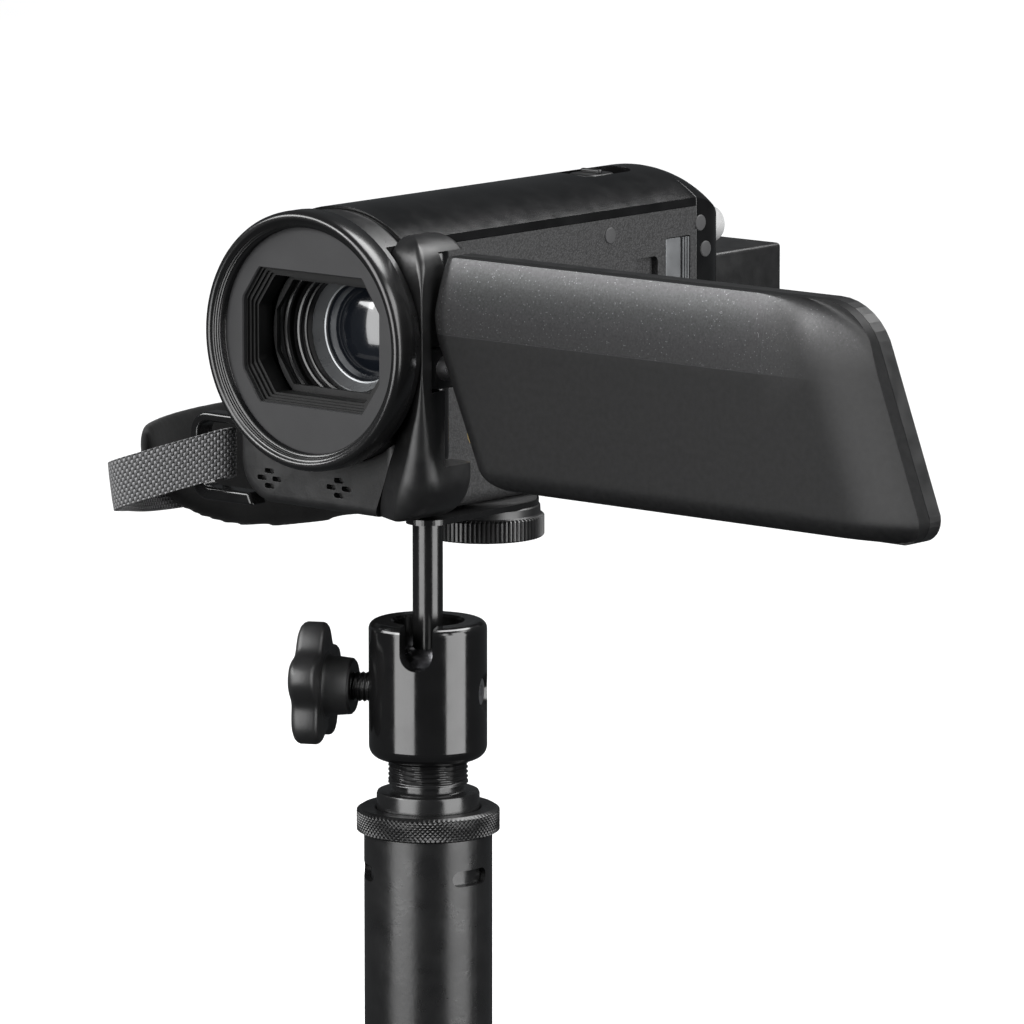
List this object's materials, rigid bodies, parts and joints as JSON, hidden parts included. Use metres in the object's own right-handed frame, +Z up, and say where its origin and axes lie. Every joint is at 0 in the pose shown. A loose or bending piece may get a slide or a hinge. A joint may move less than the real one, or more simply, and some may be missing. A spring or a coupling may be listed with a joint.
{
  "type": "camcorder on a folding tripod stand",
  "caption": "Camcorder with side screen, hand strap and battery on a ball head that screws to a column on a folding three-leg stand.",
  "frame": {"origin": "on the table, under the middle of the stand's footprint", "axes": "+Z up along the column, the lens looks along -Y, the screen opens towards +X"},
  "size_m": [0.2748, 0.24, 0.3201],
  "materials": {
    "body_satin": "satin dark grey moulded plastic",
    "wall_grain": "fine-grained matte plastic",
    "top_gloss": "polished black plastic",
    "lens_ring_plastic": "semi-gloss black with fine ridges",
    "lens_face": "matte grey plate",
    "hood_black": "dead matte black",
    "lens_glass": "coated optical glass",
    "sensor_board": "green board",
    "panel_metallic": "charcoal metallic paint above, matte black below",
    "screen_black": "black display glass",
    "silver_plastic": "silver painted plastic",
    "side_silver": "silver-grey plastic",
    "battery_black": "matte black plastic",
    "pad_suede": "black suede over foam",
    "webbing": "basket-weave nylon",
    "ball_steel": "hardened steel ball",
    "steel": "steel screws and pins",
    "head_black": "glossy black anodised",
    "stem_black": "satin black rod",
    "thread_black": "black thread",
    "knob_plastic": "matte dark grey plastic",
    "tube_coat": "powder-coated tube",
    "ring_black": "satin black knurled ring",
    "seat_nylon": "white nylon",
    "foot_rubber": "soft black rubber",
    "jack_brass": "brass socket"
  },
  "bodies": {
    "stand": {"tripod_hub": "knob_plastic", "leg_pins": "steel", "column_tube": "tube_coat", "neck_fitting": "thread_black"},
    "leg_1_body": {"leg_1": "tube_coat", "foot_1": "foot_rubber"},
    "leg_2_body": {"leg_2": "tube_coat", "foot_2": "foot_rubber"},
    "leg_3_body": {"leg_3": "tube_coat", "foot_3": "foot_rubber"},
    "lock_ring_body": {"lock_ring": "ring_black"},
    "head": {"ball_housing": "head_black", "ball_seat": "seat_nylon", "set_screw": "steel"},
    "clamp": {"clamp_screw": "thread_black", "clamp_knob": "knob_plastic"},
    "ball_body": {"ball": "ball_steel"},
    "mount_plate": {"stem": "stem_black", "camera_plate": "stem_black", "plate_pad": "foot_rubber"},
    "thumb_screw": {"thumb_wheel": "knob_plastic", "camera_screw": "steel"},
    "camcorder": {"tripod_socket": "steel", "main_shell": "wall_grain", "top_cover": "top_gloss", "front_fascia": "body_satin", "rear_cover": "body_satin", "lens_barrel": "body_satin", "lens_ring": "lens_ring_plastic", "lens_face_plate": "lens_face", "lens_hood": "hood_black", "lens_tube": "hood_black", "front_lens": "lens_glass", "zoom_lens": "lens_glass", "rear_lens": "lens_glass", "image_sensor": "sensor_board", "main_board": "sensor_board", "hinge_cover": "body_satin", "hinge_pin": "steel", "wall_bumpers": "foot_rubber", "side_plate": "side_silver", "mic_jack": "jack_brass", "strap_pad": "pad_suede", "strap_webbing": "webbing", "front_lug": "body_satin", "rear_lug": "body_satin"},
    "screen_arm": {"hinge_block": "body_satin"},
    "screen": {"screen_cover": "panel_metallic", "screen_bezel": "body_satin", "screen_module": "battery_black", "screen_glass": "screen_black"},
    "zoom": {"zoom_lever": "body_satin"},
    "record": {"record_button": "silver_plastic"},
    "power": {"power_button": "body_satin"},
    "latch": {"battery_latch": "body_satin"},
    "battery": {"battery_pack": "battery_black"}
  },
  "joints": [
    {"name": "leg_1_fold", "type": "hinge", "parent": "stand", "child": "leg_1_body", "pos_m": [0, -0.0135, 0.058], "axis": [1, 0, 0], "range_deg": [0, 111]},
    {"name": "leg_2_fold", "type": "hinge", "parent": "stand", "child": "leg_2_body", "pos_m": [-0.02079, -0.0495, 0.058], "axis": [-0.5, 0.866, 0], "range_deg": [0, 111]},
    {"name": "leg_3_fold", "type": "hinge", "parent": "stand", "child": "leg_3_body", "pos_m": [0.02079, -0.0495, 0.058], "axis": [-0.5, -0.866, 0], "range_deg": [0, 111]},
    {"name": "ring_turn", "type": "hinge", "parent": "stand", "child": "lock_ring_body", "pos_m": [0, -0.0375, 0.2], "axis": [0, 0, 1], "continuous": true},
    {"name": "head_pan", "type": "hinge", "parent": "stand", "child": "head", "pos_m": [0, -0.0375, 0.215], "axis": [0, 0, 1], "continuous": true},
    {"name": "clamp_turn", "type": "hinge", "parent": "head", "child": "clamp", "pos_m": [0, -0.0375, 0.2234], "axis": [-0.8829, -0.4695, 0], "continuous": true},
    {"name": "ball_tilt", "type": "hinge", "parent": "head", "child": "ball_body", "pos_m": [0, -0.0375, 0.224], "axis": [0.8746, 0.4848, 0], "range_deg": [-14, 32]},
    {"name": "stem_spin", "type": "hinge", "parent": "ball_body", "child": "mount_plate", "pos_m": [0, -0.0375, 0.224], "axis": [0, 0, 1], "continuous": true},
    {"name": "wheel_turn", "type": "hinge", "parent": "mount_plate", "child": "thumb_screw", "pos_m": [-0.0075, -0.0119, 0.255], "axis": [0, 0, 1], "continuous": true},
    {"name": "camera_turn", "type": "hinge", "parent": "mount_plate", "child": "camcorder", "pos_m": [-0.0075, -0.0119, 0.255], "axis": [0, 0, 1], "continuous": true},
    {"name": "screen_swing", "type": "hinge", "parent": "camcorder", "child": "screen_arm", "pos_m": [0.0022, -0.0391, 0.28925], "axis": [0, 0, 1], "range_deg": [0, 90]},
    {"name": "screen_tilt", "type": "hinge", "parent": "screen_arm", "child": "screen", "pos_m": [0.0104, -0.04335, 0.28905], "axis": [1, 0, 0], "range_deg": [-90, 180]},
    {"name": "zoom_slide", "type": "slide", "parent": "camcorder", "child": "zoom", "axis": [0, 1, 0], "range_m": [-0.003, 0.003], "stiffness_N_per_m": 300},
    {"name": "record_press", "type": "slide", "parent": "camcorder", "child": "record", "axis": [0, -1, 0], "range_m": [0, 0.0008], "stiffness_N_per_m": 600},
    {"name": "power_press", "type": "slide", "parent": "camcorder", "child": "power", "axis": [-1, 0, 0], "range_m": [0, 0.0006], "stiffness_N_per_m": 600},
    {"name": "latch_press", "type": "slide", "parent": "camcorder", "child": "latch", "axis": [0, -1, 0], "range_m": [0, 0.0008], "stiffness_N_per_m": 600},
    {"name": "battery_slide", "type": "slide", "parent": "camcorder", "child": "battery", "axis": [0, 0, -1], "range_m": [0, 0.014]}
  ]
}
